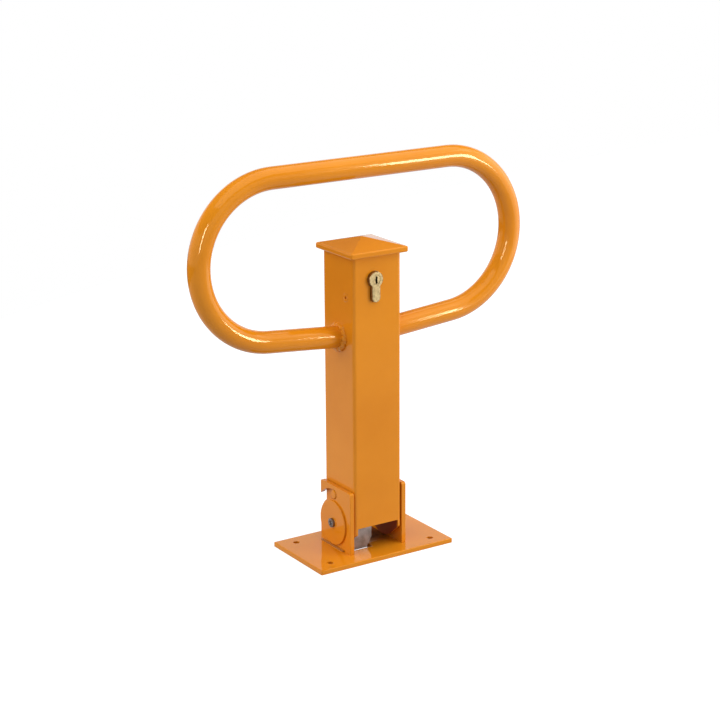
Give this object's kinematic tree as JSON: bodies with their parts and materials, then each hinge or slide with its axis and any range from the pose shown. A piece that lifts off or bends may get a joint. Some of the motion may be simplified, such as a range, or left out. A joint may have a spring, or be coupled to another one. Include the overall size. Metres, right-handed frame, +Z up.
{
  "type": "parking space lock",
  "caption": "Fold-down parking barrier: a square post with a wide tube hoop, hinged between ears on a bolt-down plate and held upright by a key-driven bar.",
  "frame": {"origin": "middle of the base plate's underside", "axes": "+Z up, -Y towards the key side, X along the hoop"},
  "size_m": [0.415, 0.1, 0.4353],
  "materials": {
    "orange_paint": "gloss powder coat",
    "zinc_steel": "zinc plated",
    "bare_steel": "oiled",
    "bush_bronze": "sintered",
    "nickel_brass": "satin"
  },
  "bodies": {
    "base": {"base_plate": "orange_paint", "left_ear": "orange_paint", "right_ear": "orange_paint", "hinge_axle": "bare_steel", "left_axle_disc": "orange_paint", "right_axle_disc": "orange_paint", "axle_screws": "zinc_steel"},
    "post": {"post_tube": "orange_paint", "post_cap": "orange_paint", "hoop": "orange_paint", "hinge_sleeve": "orange_paint", "left_hinge_bush": "bush_bronze", "right_hinge_bush": "bush_bronze", "stop_pin": "orange_paint", "lock_bracket": "bare_steel", "cylinder_body": "nickel_brass", "cylinder_screw": "orange_paint", "lower_bar_guide": "bare_steel", "upper_bar_guide": "bare_steel", "spring_seat": "bare_steel"},
    "bar": {"locking_bar": "zinc_steel", "spring_peg": "bare_steel", "bar_spring": "bare_steel"},
    "plug": {"cylinder_plug": "nickel_brass", "cylinder_cam": "nickel_brass"}
  },
  "joints": [
    {"name": "post_fold", "type": "hinge", "parent": "base", "child": "post", "pos_m": [0, 0.003, 0.033], "axis": [-1, 0, 0], "range_deg": [0, 90]},
    {"name": "bar_slide", "type": "slide", "parent": "post", "child": "bar", "axis": [0, 0, 1], "range_m": [-0.005, 0], "deforming": ["bar_spring"]},
    {"name": "key_turn", "type": "hinge", "parent": "post", "child": "plug", "pos_m": [-0.004, -0.0145, 0.309], "axis": [0, -1, 0], "range_deg": [0, 90]}
  ],
  "couplings": [
    {"joint": "key_turn", "follows": "bar_slide", "rad_per_m": -314.15}
  ]
}
